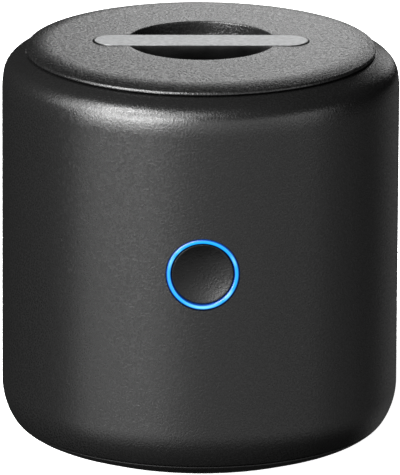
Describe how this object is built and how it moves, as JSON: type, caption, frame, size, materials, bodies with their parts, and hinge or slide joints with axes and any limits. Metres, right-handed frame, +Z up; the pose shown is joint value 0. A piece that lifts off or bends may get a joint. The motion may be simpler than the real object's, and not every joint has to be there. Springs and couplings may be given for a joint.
{
  "type": "pacifier sterilizer case",
  "caption": "Round pacifier sterilizer case with a lift-off lid, a bar across a finger recess, a lit push button and an ultraviolet lamp under a mirrored chamber.",
  "frame": {"origin": "middle of the underside, on the surface that the case stands on", "axes": "+Z up through the lid, -Y towards the push button, +X to the right as seen from the front"},
  "size_m": [0.08, 0.08, 0.0821],
  "materials": {
    "case_plastic": "charcoal, fine spark-eroded grain with a soft sheen",
    "button_plastic": "darker charcoal, fine grain",
    "dark_plastic": "plain black",
    "black_rubber": "matt",
    "satin_metal": "satin grey, anodised",
    "steel": "plain",
    "mirror_metal": "polished reflector",
    "quartz": "clear",
    "white_plastic": "smooth",
    "blue_light": "frosted light guide, lit blue",
    "circuit_board": "solder mask",
    "lamp_board": "white mask on a metal core",
    "cell_wrap": "silver pouch film",
    "amber_film": "polyimide film",
    "diode": "ceramic package"
  },
  "bodies": {
    "body": {"outer_shell": "case_plastic", "base_cap": "case_plastic", "foot_ring": "black_rubber", "main_board": "circuit_board", "usb_socket": "steel", "port_bezel": "dark_plastic", "inner_frame": "dark_plastic", "chamber_liner": "mirror_metal", "pacifier_rest": "white_plastic", "quartz_window": "quartz", "window_gasket": "black_rubber", "uv_lamp_board": "lamp_board", "uv_diode_1": "diode", "uv_diode_2": "diode", "uv_diode_3": "diode", "uv_diode_4": "diode", "uv_diode_5": "diode", "base_screw_1": "steel", "base_screw_2": "steel", "base_screw_3": "steel", "base_screw_4": "steel", "battery_cell": "cell_wrap", "battery_pad": "black_rubber", "control_chip": "dark_plastic", "button_light_ring": "blue_light", "button_bracket": "dark_plastic", "button_board": "circuit_board", "tact_switch": "steel", "ring_diode_1": "diode", "ring_diode_2": "diode", "ring_diode_3": "diode", "ring_diode_4": "diode", "board_screw_1": "steel", "board_screw_2": "steel", "button_ribbon": "amber_film", "lid_sensor_board": "circuit_board", "lid_sensor": "dark_plastic", "sensor_ribbon": "amber_film"},
    "lid": {"lid_shell": "case_plastic", "handle_bar": "dark_plastic", "handle_inlay": "satin_metal", "lid_cover": "dark_plastic", "lid_reflector": "mirror_metal", "lid_seal": "black_rubber", "grip_ring": "black_rubber", "sensor_magnet": "steel", "lid_screw_1": "steel", "lid_screw_2": "steel", "lid_screw_3": "steel", "lid_screw_4": "steel", "bar_screw_1": "steel", "bar_screw_2": "steel"},
    "button": {"button_cap": "button_plastic", "switch_plunger": "white_plastic"}
  },
  "joints": [
    {"name": "lid_lift", "type": "slide", "parent": "body", "child": "lid", "axis": [0, 0, 1], "range_m": [0, 0.06]},
    {"name": "button_press", "type": "slide", "parent": "body", "child": "button", "axis": [0, 1, 0], "range_m": [0, 0.0004], "stiffness_N_per_m": 600}
  ]
}
